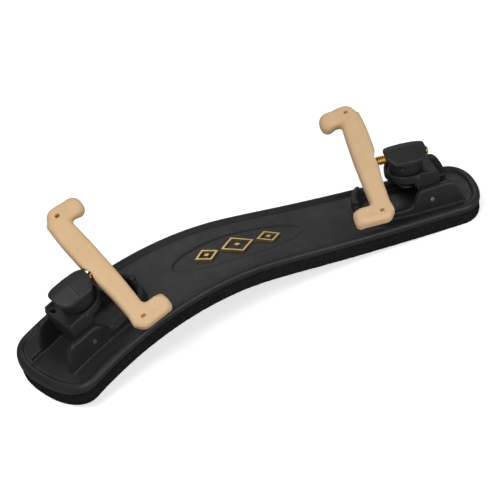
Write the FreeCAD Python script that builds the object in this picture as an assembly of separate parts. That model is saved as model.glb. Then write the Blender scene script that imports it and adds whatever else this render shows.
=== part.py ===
"""Violin shoulder rest, half size, shown with both fork brackets folded in.

Frame: X runs along the rest, Y across it (+Y is the outside of the bend), +Z up.
The origin is under the middle of the plate, on the table that the pad's ends stand on.
Each end has the same mechanism, mirrored. It is drawn in its own frame: the origin is the
middle of the hinge pin, +x points inward along the plate, +y is the row's back, +z leaves
the plate squarely.
"""
import FreeCAD, Part
import math
import os

from FreeCAD import Matrix, Vector

os.makedirs("parts", exist_ok=True)

# ---- plate and pad: sizes in millimetres -------------------------------------------------
LEFT_END = -105.0          # the centre line runs between these, along X
RIGHT_END = 98.0
HALF_WIDTH_LEFT = 24.9     # half the plate's width at the wide end
HALF_WIDTH_RIGHT = 16.3    # and at the narrow end
END_ROUND = 11.0           # length of each rounded end
END_POWER = 2.3            # 2 is an ellipse, more is squarer

PEAK_X = -33.5             # where the plate's arch is highest
PEAK_Z = 21.0              # height of the rim's widest line there
ARCH_LEFT_RADIUS = 198.0   # falls to the wide end
ARCH_RIGHT_RADIUS = 164.0  # falls towards the narrow end
RAMP_SLOPE_DEG = 11.3      # the straight stretch after it
RAMP_END_X = 13.4
FLARE_RADIUS = 385.0       # the narrow end turns up again

BEND_RADIUS = 408.0        # the plan's bend
BEND_X = -26.7             # where the bend is square to X
BEND_Y = 3.9               # centre line's greatest Y
BEND_END_X = 91.3          # straight in plan beyond here

FLOOR_Z = 0.6              # plate floor, above the rim's widest line
RIM_Z = 2.0                # rim's crest
PLATE_BOTTOM_Z = -1.2
RIM_WIDTH = 4.2
RIM_ROUND = 1.7
PAD_GAP = 0.02             # the glue line
PAD_THICK = 6.5
PAD_INSET = 0.6

# ---- mechanism ---------------------------------------------------------------------------
MECHANISM_X = {"left": -81.8, "right": 75.9}
MECHANISM_Y = {"left": -0.8, "right": 1.6}      # off the centre line
PIN_HEIGHT = 5.6           # pin centre above the plate floor
SEAT_GAP = 0.6             # left under the bracket's end when it stands up
PIN_RADIUS = 0.9
RUNNING_GAP = 0.05         # radial, in every turning fit
EAR_OUTER_Y = 12.3
EAR_THICK = 2.8
EAR_TOP = 5.7              # above the pin
LOW_WALL_TOP = -2.0
POCKET_END_X = 31.0

BRACKET_HALF = 9.4
DECK_TOP = 10.2             # above the pin
DECK_THICK = 2.2
FLANGE_THICK = 2.0
SWIVEL_X = 6.2             # swivel axis, inward of the pin
HEAD_RADIUS = 9.2

KNOB_RADIUS = 7.7
KNOB_HALF_LENGTH = 8.6
KNOB_LIFT = 0.1            # gap between deck and knob
KNOB_BASE = 5.6
KNOB_TOP = 10.7
SCREW_LIFT = 6.3           # screw axis above the deck

SCREW_RADIUS = 1.95
THREAD_DEPTH = 0.35
THREAD_PITCH = 0.8
INSERT_RADIUS = 2.7
INSERT_LENGTH = 13.0
RIVET_RADIUS = 1.5
RIVET_HEAD_RADIUS = 2.9
RIVET_RISE = 3.0           # how far the rivet goes into the knob
WASHER_RADIUS = 4.2
WASHER_THICK = 0.6

SWIVEL_DEG = {"left": -6.0, "right": 4.0}       # knob's angle as it is left
FORK_REACH = {"left": 13.6, "right": 16.8}      # swivel axis to the fork's centre line
SCREW_TAIL = {"left": -5.5, "right": -9.8}     # outer end of the screw
FORK_ROLL_DEG = {"left": 29.0, "right": 17.0}   # front hook down

# ---- fork --------------------------------------------------------------------------------
FORK_HALF = 31.0           # middle to the outside of a hook
BAR_BREADTH = 7.4
HOOK_BREADTH = 8.2
HOOK_REACH = 12.9          # bar's centre line to a hook's end
SLEEVE_THICK = 5.6
HUB_BULGE = 1.2            # the sleeve is broader and thicker round the hub
LIP_LENGTH = 1.6
CORE_BREADTH = 3.4
CORE_THICK = 2.0
HUB_RADIUS = 2.9
CORE_GAP = 0.02
LOCATING_HOLE = (1.3, 2.0)

# ---- badge -------------------------------------------------------------------------------
BADGE_X = -7.0
BADGE_HALF_LENGTH = 29.0
BADGE_HALF_WIDTH = 9.0
BADGE_DEPTH = 0.5
LOZENGE_HEIGHT = 1.0
LOZENGE_STROKE = 1.3        # width of each lozenge's frame, measured along its long axis
LOZENGES = ((-14.0, 5.4, 4.2), (0.0, 7.4, 5.8), (14.0, 5.4, 4.2))    # place, half length, half width


# ---- the plate's curves ------------------------------------------------------------------
def centre_y(x):
    """Plan: an arc, then its tangent."""
    run = min(x, BEND_END_X) - BEND_X
    y = BEND_Y - BEND_RADIUS + math.sqrt(BEND_RADIUS ** 2 - run ** 2)
    if x > BEND_END_X:
        y -= (x - BEND_END_X) * run / math.sqrt(BEND_RADIUS ** 2 - run ** 2)
    return y


def half_width(x):
    """Tapers from end to end and closes over a rounded stretch at each end."""
    across = (x - LEFT_END) / (RIGHT_END - LEFT_END)
    width = HALF_WIDTH_LEFT + (HALF_WIDTH_RIGHT - HALF_WIDTH_LEFT) * across
    into_round = max(0.0, LEFT_END + END_ROUND - x, x - RIGHT_END + END_ROUND) / END_ROUND
    return width * max(0.0, 1.0 - into_round ** END_POWER) ** (1.0 / END_POWER)


RAMP_START_X = PEAK_X + ARCH_RIGHT_RADIUS * math.sin(math.radians(RAMP_SLOPE_DEG))
RAMP_START_Z = PEAK_Z - ARCH_RIGHT_RADIUS * (1 - math.cos(math.radians(RAMP_SLOPE_DEG)))
RAMP_SLOPE = math.tan(math.radians(RAMP_SLOPE_DEG))
RAMP_END_Z = RAMP_START_Z - (RAMP_END_X - RAMP_START_X) * RAMP_SLOPE
FLARE_X = RAMP_END_X + FLARE_RADIUS * math.sin(math.radians(RAMP_SLOPE_DEG))
FLARE_CENTRE_Z = RAMP_END_Z + FLARE_RADIUS * math.cos(math.radians(RAMP_SLOPE_DEG))
BEYOND = 12.0              # how far the slab runs past the plate's ends
OUTLINE_POINTS = 96


def arch_z(x):
    """Elevation of the rim's widest line."""
    if x < PEAK_X:
        return PEAK_Z - ARCH_LEFT_RADIUS + math.sqrt(ARCH_LEFT_RADIUS ** 2 - (x - PEAK_X) ** 2)
    if x < RAMP_START_X:
        return PEAK_Z - ARCH_RIGHT_RADIUS + math.sqrt(ARCH_RIGHT_RADIUS ** 2 - (x - PEAK_X) ** 2)
    if x < RAMP_END_X:
        return RAMP_START_Z - (x - RAMP_START_X) * RAMP_SLOPE
    return FLARE_CENTRE_Z - math.sqrt(FLARE_RADIUS ** 2 - (x - FLARE_X) ** 2)


def arch_pitch(x):
    """Angle of the arch above the horizontal, going along +X."""
    step = 0.01
    return math.atan((arch_z(x + step) - arch_z(x - step)) / (2 * step))


def heading(x):
    step = 0.01
    return math.atan((centre_y(x + step) - centre_y(x - step)) / (2 * step))


def arch_point(x, offset):
    """A point of the arch in the XZ plane, moved off it squarely."""
    pitch = arch_pitch(x)
    return Vector(x - offset * math.sin(pitch), 0, arch_z(x) + offset * math.cos(pitch))


def arch_curve(offset):
    """The arch's edges at one offset: three arcs and a straight."""
    stops = [LEFT_END - BEYOND, PEAK_X, RAMP_START_X, RAMP_END_X, RIGHT_END + BEYOND]
    edges = []
    for start, end in zip(stops, stops[1:]):
        first = arch_point(start, offset)
        last = arch_point(end, offset)
        if start == RAMP_START_X:
            edges.append(Part.makeLine(first, last))
        else:
            middle = arch_point((start + end) / 2, offset)
            edges.append(Part.Arc(first, middle, last).toShape())
    return edges


def slab(low, high, reach=60.0):
    """Everything between two offsets of the arch."""
    under = arch_curve(low)
    over = arch_curve(high)
    sides = [Part.makeLine(under[0].Vertexes[0].Point, over[0].Vertexes[0].Point),
             Part.makeLine(under[-1].Vertexes[-1].Point, over[-1].Vertexes[-1].Point)]
    wire = Part.Wire(Part.__sortEdges__(under + over + sides))
    return Part.Face(wire).extrude(Vector(0, 2 * reach, 0)).translated(Vector(0, -reach, 0))


def outline(inset):
    """Plan outline moved in by an inset: one closed curve, set out square to the centre line."""
    middle = (LEFT_END + RIGHT_END) / 2
    reach = (RIGHT_END - LEFT_END) / 2
    points = []
    for k in range(OUTLINE_POINTS):
        turn = 2 * math.pi * k / OUTLINE_POINTS
        x = middle + reach * math.cos(turn)
        side = 1 if math.sin(turn) >= 0 else -1
        width = side * half_width(x) * (1 - inset / HALF_WIDTH_LEFT)
        x = middle + (x - middle) * (1 - inset / reach)
        turned = heading(x)
        points.append(Vector(x - width * math.sin(turned), centre_y(x) + width * math.cos(turned), 0))
    curve = Part.BSplineCurve()
    curve.interpolate(Points=points, PeriodicFlag=True)
    return Part.Face(Part.Wire(curve.toShape()))


def column(inset, low=-40.0, high=80.0):
    return outline(inset).translated(Vector(0, 0, low)).extrude(Vector(0, 0, high - low))


# ---- the mechanism's frame ---------------------------------------------------------------
def mechanism_matrix(side):
    """Takes the left-hand design to its place; the right one is mirrored first."""
    x = MECHANISM_X[side]
    turn = heading(x)
    pitch = arch_pitch(x)
    along = Vector(math.cos(turn) * math.cos(pitch), math.sin(turn) * math.cos(pitch), math.sin(pitch))
    across = Vector(-math.sin(turn), math.cos(turn), 0)
    away = along.cross(across)
    centre = Vector(x, centre_y(x), arch_z(x)) + away * (FLOOR_Z + PIN_HEIGHT)
    centre += across * MECHANISM_Y[side]
    return Matrix(along.x, across.x, away.x, centre.x,
                  along.y, across.y, away.y, centre.y,
                  along.z, across.z, away.z, centre.z,
                  0, 0, 0, 1)


def put(shape, side):
    if side == "right":
        shape = shape.mirror(Vector(0, 0, 0), Vector(1, 0, 0))
    placed = shape.copy()
    placed.Placement = FreeCAD.Placement(mechanism_matrix(side)).multiply(placed.Placement)
    return placed


# ---- small helpers -----------------------------------------------------------------------
def box(x0, x1, y0, y1, z0, z1):
    return Part.makeBox(x1 - x0, y1 - y0, z1 - z0, Vector(x0, y0, z0))


def rod(radius, start, axis, length):
    return Part.makeCylinder(radius, length, start, axis)


def prism(points, direction):
    """A face through the points, some joined by arcs, pushed along a direction.

    A point is a Vector; a pair (through, end) makes an arc from the last point.
    """
    edges = []
    last = points[0]
    for item in points[1:] + [points[0]]:
        if isinstance(item, tuple):
            through, end = item
            edges.append(Part.Arc(last, through, end).toShape())
            last = end
        else:
            if item.distanceToPoint(last) > 1e-6:
                edges.append(Part.makeLine(last, item))
            last = item
    return Part.Face(Part.Wire(edges)).extrude(direction)


AXIS_X = Vector(1, 0, 0)
AXIS_Y = Vector(0, 1, 0)
AXIS_Z = Vector(0, 0, 1)
FLOOR = -PIN_HEIGHT


# ---- plate -------------------------------------------------------------------------------
EAR_FOOT_X = -14.0         # the ear's slanted outer edge, foot and top
EAR_HEAD_X = -9.6
EAR_INNER_TOP = (4.4, 4.9)
LOW_WALL_X = 9.6
BLOCK_X = 24.0             # the raised block at the pocket's inner end
BLOCK_TOP = 1.0
BLOCK_FRONT_Y = -1.0
DEEP = -24.0               # walls are drawn this deep, then trimmed to the plate


def wall_profile():
    """Side view of the pocket's wall: ear, S-curve, low wall, raised block."""
    inner_x, inner_z = EAR_INNER_TOP
    mid_x = (inner_x + LOW_WALL_X) / 2
    mid_z = (inner_z + LOW_WALL_TOP) / 2
    points = [Vector(EAR_FOOT_X, -20, DEEP), Vector(EAR_FOOT_X, -20, FLOOR),
              Vector(EAR_HEAD_X - 0.6, -20, EAR_TOP - 1.8),
              (Vector(EAR_HEAD_X, -20, EAR_TOP - 0.5), Vector(EAR_HEAD_X + 1.2, -20, EAR_TOP)),
              Vector(inner_x - 1.4, -20, inner_z + 0.3),
              (Vector(inner_x + 1.1, -20, inner_z - 0.9), Vector(mid_x, -20, mid_z)),
              (Vector(mid_x + 0.9, -20, LOW_WALL_TOP + 0.9), Vector(LOW_WALL_X, -20, LOW_WALL_TOP)),
              Vector(BLOCK_X - 1.0, -20, LOW_WALL_TOP),
              (Vector(BLOCK_X + 0.2, -20, BLOCK_TOP - 1.0), Vector(BLOCK_X + 2.4, -20, BLOCK_TOP)),
              Vector(POCKET_END_X + 1, -20, BLOCK_TOP), Vector(POCKET_END_X + 1, -20, DEEP)]
    return prism(points, Vector(0, 40, 0))


def pocket_wall():
    """U-shaped wall round the folded fork's root, highest at the ears."""
    inner_y = EAR_OUTER_Y - EAR_THICK
    bend_x = POCKET_END_X - EAR_OUTER_Y
    depth = EAR_TOP - DEEP
    low = Vector(bend_x, 0, DEEP)
    outer = box(EAR_FOOT_X, bend_x, -EAR_OUTER_Y, EAR_OUTER_Y, DEEP, EAR_TOP)
    outer = outer.fuse(rod(EAR_OUTER_Y, low, AXIS_Z, depth))
    inner = box(EAR_FOOT_X - 1, bend_x, -inner_y, inner_y, DEEP - 1, EAR_TOP + 1)
    inner = inner.fuse(rod(inner_y, low, AXIS_Z, depth + 2))
    wall = outer.cut(inner).common(wall_profile())
    front_end = box(BLOCK_X - 3, POCKET_END_X + 1, -20, BLOCK_FRONT_Y, LOW_WALL_TOP, EAR_TOP)
    return wall.cut(front_end).removeSplitter()


def plate_body():
    rim = column(0).common(slab(PLATE_BOTTOM_Z, RIM_Z))
    crest = [edge for edge in rim.Edges
             if min(abs((v.Point - arch_point(v.Point.x, RIM_Z)).z) for v in edge.Vertexes) < 0.3]
    crest = [edge for edge in crest if edge.Length > 20]
    rim = rim.makeFillet(RIM_ROUND, crest)
    tray = column(RIM_WIDTH).common(slab(FLOOR_Z, RIM_Z + 5))
    return rim.cut(tray)


def badge_outline(half_length, half_width, x):
    ellipse = Part.Ellipse(Vector(0, 0, 0), half_length, half_width)
    face = Part.Face(Part.Wire(ellipse.toShape()))
    face.rotate(Vector(0, 0, 0), AXIS_Z, math.degrees(heading(x)))
    return face.translated(Vector(x, centre_y(x), -40)).extrude(Vector(0, 0, 120))


def base_plate():
    plate = plate_body()
    recess = badge_outline(BADGE_HALF_LENGTH, BADGE_HALF_WIDTH, BADGE_X)
    plate = plate.cut(recess.common(slab(FLOOR_Z - BADGE_DEPTH, FLOOR_Z + 5)))
    above = slab(PLATE_BOTTOM_Z + 0.5, 60)
    for side in ("left", "right"):
        plate = plate.fuse(put(pocket_wall(), side).common(above))
        rib = box(EAR_FOOT_X - 7, EAR_FOOT_X + 1, EAR_OUTER_Y - 2, EAR_OUTER_Y - 1, DEEP, FLOOR + 0.7)
        plate = plate.fuse(put(rib, side).common(above))
        hole = rod(PIN_RADIUS, Vector(0, -20, 0), AXIS_Y, 40)
        plate = plate.cut(put(hole, side))
    return plate.removeSplitter()


def foam_pad():
    top = PLATE_BOTTOM_Z - PAD_GAP
    pad = column(PAD_INSET).common(slab(top - PAD_THICK, top))
    table = box(-150, 150, -60, 60, -10, 0)
    return pad.cut(table)


def lozenge(x, half_length, half_width):
    """Tall lozenge stick standing on the centre line."""
    corners = [Vector(-half_length, 0, 0), Vector(0, -half_width, 0),
               Vector(half_length, 0, 0), Vector(0, half_width, 0)]
    face = Part.Face(Part.makePolygon(corners + [corners[0]]))
    face.rotate(Vector(0, 0, 0), AXIS_Z, math.degrees(heading(x)))
    return face.translated(Vector(x, centre_y(x), -40)).extrude(Vector(0, 0, 120))


def badge_inlay():
    """A plain row of open lozenges, each with a small stud, standing in the recess."""
    base = FLOOR_Z - BADGE_DEPTH
    layer = slab(base, base + LOZENGE_HEIGHT)
    solids = []
    for place, half_length, half_width in LOZENGES:
        shrink = 1 - LOZENGE_STROKE / half_length
        x = BADGE_X + place
        frame = lozenge(x, half_length, half_width).cut(lozenge(x, half_length * shrink, half_width * shrink))
        stud = lozenge(x, LOZENGE_STROKE, LOZENGE_STROKE * half_width / half_length)
        solids += [frame.common(layer), stud.common(layer)]
    return Part.makeCompound(solids)


# ---- folding bracket ---------------------------------------------------------------------
END_X = SEAT_GAP - PIN_HEIGHT                  # outer face of the bracket
END_WALL = 1.8
FLANGE_BACK_X = 3.4
TAB = (-4.4, 3.5, 1.6, 1.3)                    # from x, to x, thickness, rise above the deck


def deck():
    low = DECK_TOP - DECK_THICK
    bevel = 0.9
    half = [Vector(END_X, -BRACKET_HALF, low), Vector(END_X, BRACKET_HALF, low),
            Vector(END_X, BRACKET_HALF, DECK_TOP - bevel),
            Vector(END_X, BRACKET_HALF - bevel, DECK_TOP),
            Vector(END_X, bevel - BRACKET_HALF, DECK_TOP),
            Vector(END_X, -BRACKET_HALF, DECK_TOP - bevel)]
    strip = prism(half, Vector(SWIVEL_X - END_X, 0, 0))
    head = rod(HEAD_RADIUS, Vector(SWIVEL_X, 0, low), AXIS_Z, DECK_THICK)
    return strip.fuse(head)


def flange(y):
    """One side cheek: flat outer end, heel rounded about the pin, foot ahead of it."""
    heel = -END_X
    low_angle = math.radians(232)
    mid_angle = math.radians(206)
    foot = Vector(heel * math.cos(low_angle), y, heel * math.sin(low_angle))
    middle = Vector(heel * math.cos(mid_angle), y, heel * math.sin(mid_angle))
    points = [Vector(END_X, y, DECK_TOP - 1), Vector(END_X, y, 0), (middle, foot),
              Vector(1.0, y, -3.4), (Vector(3.0, y, -1.9), Vector(FLANGE_BACK_X, y, 0)),
              Vector(FLANGE_BACK_X + 2.4, y, DECK_TOP - 1)]
    return prism(points, Vector(0, FLANGE_THICK, 0))


def swing_bracket():
    bracket = deck()
    for y in (-BRACKET_HALF, BRACKET_HALF - FLANGE_THICK):
        bracket = bracket.fuse(flange(y))
    bracket = bracket.fuse(box(END_X, END_X + END_WALL, -BRACKET_HALF, BRACKET_HALF, -1.2, DECK_TOP - 1))
    tab_x0, tab_x1, tab_thick, tab_rise = TAB
    for y in (-BRACKET_HALF, BRACKET_HALF - tab_thick):
        bracket = bracket.fuse(box(tab_x0, tab_x1, y, y + tab_thick, DECK_TOP - 1, DECK_TOP + tab_rise))
    boss_low = DECK_TOP - DECK_THICK - BOSS_DEPTH
    boss = rod(BOSS_RADIUS, Vector(SWIVEL_X, 0, boss_low), AXIS_Z, BOSS_DEPTH + 1)
    bracket = bracket.fuse(boss)
    heel_limit = rod(-END_X, Vector(0, -20, 0), AXIS_Y, 40)
    above_pin = box(END_X, 20, -20, 20, 0, 20)
    bracket = bracket.common(heel_limit.fuse(above_pin))
    pin_bore = rod(PIN_RADIUS + RUNNING_GAP, Vector(0, -20, 0), AXIS_Y, 40)
    rivet_bore = rod(RIVET_RADIUS + RUNNING_GAP, Vector(SWIVEL_X, 0, -5), AXIS_Z, 20)
    return bracket.cut(pin_bore).cut(rivet_bore).removeSplitter()


BOSS_RADIUS = 3.2
BOSS_DEPTH = 4.6
PIN_END = 0.15             # pin stands this far proud of each ear


def hinge_pin():
    half = EAR_OUTER_Y + PIN_END
    return rod(PIN_RADIUS, Vector(0, -half, 0), AXIS_Y, 2 * half)


def swivel_rivet():
    top = DECK_TOP + KNOB_LIFT + RIVET_RISE
    low = DECK_TOP - DECK_THICK - BOSS_DEPTH - 2 * RUNNING_GAP - WASHER_THICK
    shank = rod(RIVET_RADIUS, Vector(SWIVEL_X, 0, low), AXIS_Z, top - low)
    head = rod(RIVET_HEAD_RADIUS, Vector(SWIVEL_X, 0, low - 0.8), AXIS_Z, 0.8)
    return shank.fuse(head).removeSplitter()


def swivel_washer():
    low = DECK_TOP - DECK_THICK - BOSS_DEPTH - RUNNING_GAP - WASHER_THICK
    ring = rod(WASHER_RADIUS, Vector(SWIVEL_X, 0, low), AXIS_Z, WASHER_THICK)
    return ring.cut(rod(RIVET_RADIUS + RUNNING_GAP, Vector(SWIVEL_X, 0, low - 1), AXIS_Z, 3))


# ---- knob and screw, drawn about the swivel axis with the screw along x -----------------
SCREW_Z = DECK_TOP + SCREW_LIFT
KNOB_LOW = DECK_TOP + KNOB_LIFT
EAVES_Y = 7.4              # half breadth of the grip where it meets the base
FLANK_Y = 6.0              # a point on its flank, this far above the eaves
FLANK_RISE = 2.6
RIDGE_Y = 3.0              # where the flank turns into the ridge
RIDGE_FALL = 0.9
GRIP_OVERHANG = 1.6        # past the round base, along the screw


def on_swivel(shape, side):
    """Turns a piece drawn about the swivel axis to the knob's angle."""
    shape = shape.copy()
    shape.rotate(Vector(0, 0, 0), AXIS_Z, SWIVEL_DEG[side])
    shape.translate(Vector(SWIVEL_X, 0, 0))
    return put(shape, side)


def knob():
    """Round base, roof-shaped grip along the screw."""
    base = rod(KNOB_RADIUS, Vector(0, 0, KNOB_LOW), AXIS_Z, KNOB_BASE + 1)
    x = -KNOB_HALF_LENGTH
    eaves = KNOB_LOW + KNOB_BASE
    top = KNOB_LOW + KNOB_TOP
    shoulder = top - RIDGE_FALL
    roof = [Vector(x, -EAVES_Y, eaves), Vector(x, EAVES_Y, eaves),
            (Vector(x, FLANK_Y, eaves + FLANK_RISE), Vector(x, RIDGE_Y, shoulder)),
            (Vector(x, 0, top), Vector(x, -RIDGE_Y, shoulder)),
            (Vector(x, -FLANK_Y, eaves + FLANK_RISE), Vector(x, -EAVES_Y, eaves))]
    grip = prism(roof, Vector(2 * KNOB_HALF_LENGTH, 0, 0))
    grip = grip.common(rod(KNOB_RADIUS + GRIP_OVERHANG, Vector(0, 0, 0), AXIS_Z, 40))
    body = base.fuse(grip)
    start = Vector(-20, 0, SCREW_Z)
    body = body.cut(rod(SCREW_RADIUS + 0.4, start, AXIS_X, 40))
    body = body.cut(rod(INSERT_RADIUS, Vector(-INSERT_LENGTH / 2, 0, SCREW_Z), AXIS_X, INSERT_LENGTH))
    body = body.cut(rod(RIVET_RADIUS, Vector(0, 0, 0), AXIS_Z, KNOB_LOW + RIVET_RISE))
    return body.removeSplitter()


def threaded_insert():
    start = Vector(-INSERT_LENGTH / 2, 0, SCREW_Z)
    tube = rod(INSERT_RADIUS, start, AXIS_X, INSERT_LENGTH)
    return tube.cut(rod(SCREW_RADIUS + RUNNING_GAP, start, AXIS_X, INSERT_LENGTH))


def height_screw(side):
    """Turned profile: each pitch is one ridge, with a rounded tail and a plain neck."""
    start = SCREW_TAIL[side]
    end = FORK_REACH[side] + BAR_BREADTH / 2 - 0.6
    neck = FORK_REACH[side] - BAR_BREADTH / 2 - 0.2
    count = int((neck - start - 1) / THREAD_PITCH)
    root = SCREW_RADIUS - THREAD_DEPTH
    profile = [Vector(start, 0, 0), Vector(start, root - 0.3, 0), Vector(start + 0.3, root, 0)]
    for k in range(count):
        x = start + 0.3 + k * THREAD_PITCH
        profile.append(Vector(x + 0.35 * THREAD_PITCH, SCREW_RADIUS, 0))
        profile.append(Vector(x + 0.5 * THREAD_PITCH, SCREW_RADIUS, 0))
        profile.append(Vector(x + 0.85 * THREAD_PITCH, root, 0))
        if k < count - 1:
            profile.append(Vector(x + THREAD_PITCH, root, 0))
    profile.append(Vector(neck, root, 0))
    profile.append(Vector(neck, SCREW_RADIUS, 0))
    profile.append(Vector(end, SCREW_RADIUS, 0))
    profile.append(Vector(end, 0, 0))
    face = Part.Face(Part.makePolygon(profile + [profile[0]]))
    screw = face.revolve(Vector(0, 0, 0), AXIS_X, 360)
    return screw.translated(Vector(0, 0, SCREW_Z))


# ---- fork: x along the screw, -y to the front hook, z square to both -------------------
HOOK_Y = FORK_HALF - HOOK_BREADTH / 2


def hooked_shape(bar, hook, thick, reach, lip, lip_thick):
    """C-shaped flat strip with a lip turned down at the end of each hook."""
    shape = box(-bar / 2, bar / 2, -HOOK_Y, HOOK_Y, -thick / 2, thick / 2)
    for sign in (-1, 1):
        y = sign * HOOK_Y
        heel = rod(hook / 2, Vector(hook / 2 - bar / 2, y, -thick / 2), AXIS_Z, thick)
        tip_x = reach - hook / 2
        tip = rod(hook / 2, Vector(tip_x, y, -thick / 2 - lip), AXIS_Z, thick + lip)
        tip = tip.cut(box(-50, reach - lip_thick, -50, 50, -50, -thick / 2))
        strip = box(hook / 2 - bar / 2, tip_x, y - hook / 2, y + hook / 2, -thick / 2, thick / 2)
        shape = shape.fuse(heel).fuse(tip).fuse(strip)
    return shape


def core_outline(grow):
    """The metal core, or the hollow for it when grown by the clearance."""
    shape = hooked_shape(CORE_BREADTH + 2 * grow, CORE_BREADTH + 2 * grow, CORE_THICK + 2 * grow,
                         HOOK_REACH - 2.4 + grow, LIP_LENGTH, CORE_THICK + 2 * grow)
    hub_half = BAR_BREADTH / 2 - 0.5 + grow
    return shape.fuse(rod(HUB_RADIUS + grow, Vector(-hub_half, 0, 0), AXIS_X, 2 * hub_half))


def on_screw(shape, side):
    """Takes a piece drawn about the fork's middle to its place on the screw."""
    shape = shape.copy()
    shape.rotate(Vector(0, 0, 0), AXIS_X, FORK_ROLL_DEG[side])
    shape.translate(Vector(FORK_REACH[side], 0, SCREW_Z))
    return on_swivel(shape, side)


def screw_hole(radius):
    return rod(radius, Vector(-20, 0, 0), AXIS_X, 40)


def fork_core():
    return core_outline(0).cut(screw_hole(SCREW_RADIUS + RUNNING_GAP)).removeSplitter()


def fork_sleeve():
    sleeve = hooked_shape(BAR_BREADTH, HOOK_BREADTH, SLEEVE_THICK, HOOK_REACH, LIP_LENGTH, 3.6)
    hub = rod(HUB_RADIUS + 1.3, Vector(-BAR_BREADTH / 2 - HUB_BULGE, 0, 0), AXIS_X, BAR_BREADTH + HUB_BULGE)
    sleeve = sleeve.fuse(hub).removeSplitter()
    sleeve = sleeve.cut(core_outline(CORE_GAP))
    sleeve = sleeve.cut(rod(SCREW_RADIUS + 0.5, Vector(-20, 0, 0), AXIS_X, 20))
    hole_radius, hole_back = LOCATING_HOLE
    for sign in (-1, 1):
        start = Vector(HOOK_REACH - HOOK_BREADTH / 2 - hole_back, sign * HOOK_Y, 0)
        sleeve = sleeve.cut(rod(hole_radius / 2, start, AXIS_Z, 10))
    return sleeve


# ---- the whole rest ----------------------------------------------------------------------
def build():
    pieces = {"base_plate": base_plate(), "foam_pad": foam_pad(), "badge_inlay": badge_inlay()}
    for side in ("left", "right"):
        pieces["hinge_pin_" + side] = put(hinge_pin(), side)
        pieces["swing_bracket_" + side] = put(swing_bracket(), side)
        pieces["swivel_rivet_" + side] = on_swivel(swivel_rivet().translated(Vector(-SWIVEL_X, 0, 0)), side)
        pieces["swivel_washer_" + side] = on_swivel(swivel_washer().translated(Vector(-SWIVEL_X, 0, 0)), side)
        pieces["knob_" + side] = on_swivel(knob(), side)
        pieces["threaded_insert_" + side] = on_swivel(threaded_insert(), side)
        pieces["height_screw_" + side] = on_swivel(height_screw(side), side)
        pieces["fork_core_" + side] = on_screw(fork_core(), side)
        pieces["fork_sleeve_" + side] = on_screw(fork_sleeve(), side)
    return pieces


def footprint_shift(pieces):
    """Moves the origin to the table, under the middle of everything."""
    whole = FreeCAD.BoundBox()
    for shape in pieces.values():
        whole.add(shape.BoundBox)
    return Vector(-whole.Center.x, -whole.Center.y, -whole.ZMin)


PIECES = build()
SHIFT = footprint_shift(PIECES)
for node, shape in PIECES.items():
    shape.translated(SHIFT).exportStep("parts/" + node + ".step")
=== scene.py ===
"""Violin shoulder rest: moulded shapes, materials and a plain studio round the CAD frame.

Lengths in this script are millimetres until a mesh is made; the frame itself is in metres.
Moulded pieces are drawn as distance fields on a fine grid and skinned with quads, so every
edge has its real rounding and every wall its fillet.
"""
import math

import bpy
import numpy as np
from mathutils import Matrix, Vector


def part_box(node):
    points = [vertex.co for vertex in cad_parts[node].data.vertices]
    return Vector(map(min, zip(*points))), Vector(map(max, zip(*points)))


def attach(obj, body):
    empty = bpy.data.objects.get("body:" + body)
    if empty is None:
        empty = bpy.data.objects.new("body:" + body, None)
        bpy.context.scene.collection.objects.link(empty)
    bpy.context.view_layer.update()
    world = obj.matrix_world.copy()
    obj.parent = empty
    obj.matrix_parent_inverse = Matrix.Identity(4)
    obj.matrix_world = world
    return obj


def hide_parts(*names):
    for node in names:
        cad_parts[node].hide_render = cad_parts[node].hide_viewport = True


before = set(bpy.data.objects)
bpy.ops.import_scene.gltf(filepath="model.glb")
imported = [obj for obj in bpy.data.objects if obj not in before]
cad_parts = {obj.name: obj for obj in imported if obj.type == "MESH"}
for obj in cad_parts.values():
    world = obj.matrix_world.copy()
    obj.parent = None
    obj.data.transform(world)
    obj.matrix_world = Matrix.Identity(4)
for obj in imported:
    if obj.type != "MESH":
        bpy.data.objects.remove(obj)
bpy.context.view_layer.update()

import openvdb as vdb
from mathutils import Matrix, Vector, noise

MM = 0.001

# ---- driving sizes, the same as the CAD's ------------------------------------------------
LEFT_END, RIGHT_END = -105.0, 98.0
HALF_WIDTH_LEFT, HALF_WIDTH_RIGHT = 24.9, 16.3
END_ROUND, END_POWER = 11.0, 2.3
PEAK_X, PEAK_Z = -33.5, 21.0
ARCH_LEFT_RADIUS, ARCH_RIGHT_RADIUS = 198.0, 164.0
RAMP_SLOPE = math.radians(11.3)
RAMP_END_X = 13.4
FLARE_RADIUS = 385.0
BEND_RADIUS, BEND_X, BEND_Y, BEND_END_X = 408.0, -26.7, 3.9, 91.3
FLOOR_Z, PLATE_BOTTOM_Z = 0.6, -1.2
PAD_THICK, PAD_INSET = 6.5, 0.6

MECHANISM_X = {"left": -81.8, "right": 75.9}
MECHANISM_Y = {"left": -0.8, "right": 1.6}
PIN_HEIGHT, PIN_RADIUS = 5.6, 0.9
SEAT_GAP = 0.6             # between the folded bracket's heel and the plate's floor
END_X = SEAT_GAP - PIN_HEIGHT
FLOOR = -PIN_HEIGHT
EAR_OUTER_Y, EAR_THICK, EAR_TOP = 12.3, 2.8, 5.7
LOW_WALL_TOP = -2.0
POCKET_END_X = 31.0
BRACKET_HALF, DECK_TOP, DECK_THICK = 9.4, 10.2, 2.2
DECK_LOW = DECK_TOP - DECK_THICK
SWIVEL_X, HEAD_RADIUS = 6.2, 9.2
KNOB_RADIUS, KNOB_HALF_LENGTH, KNOB_TOP = 7.7, 8.6, 10.7
KNOB_GAP = 0.1
KNOB_LOW = DECK_TOP + KNOB_GAP
BOSS_DEPTH = 4.6
SCREW_LIFT, SCREW_RADIUS = 6.3, 1.95
SCREW_Z = DECK_TOP + SCREW_LIFT
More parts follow.
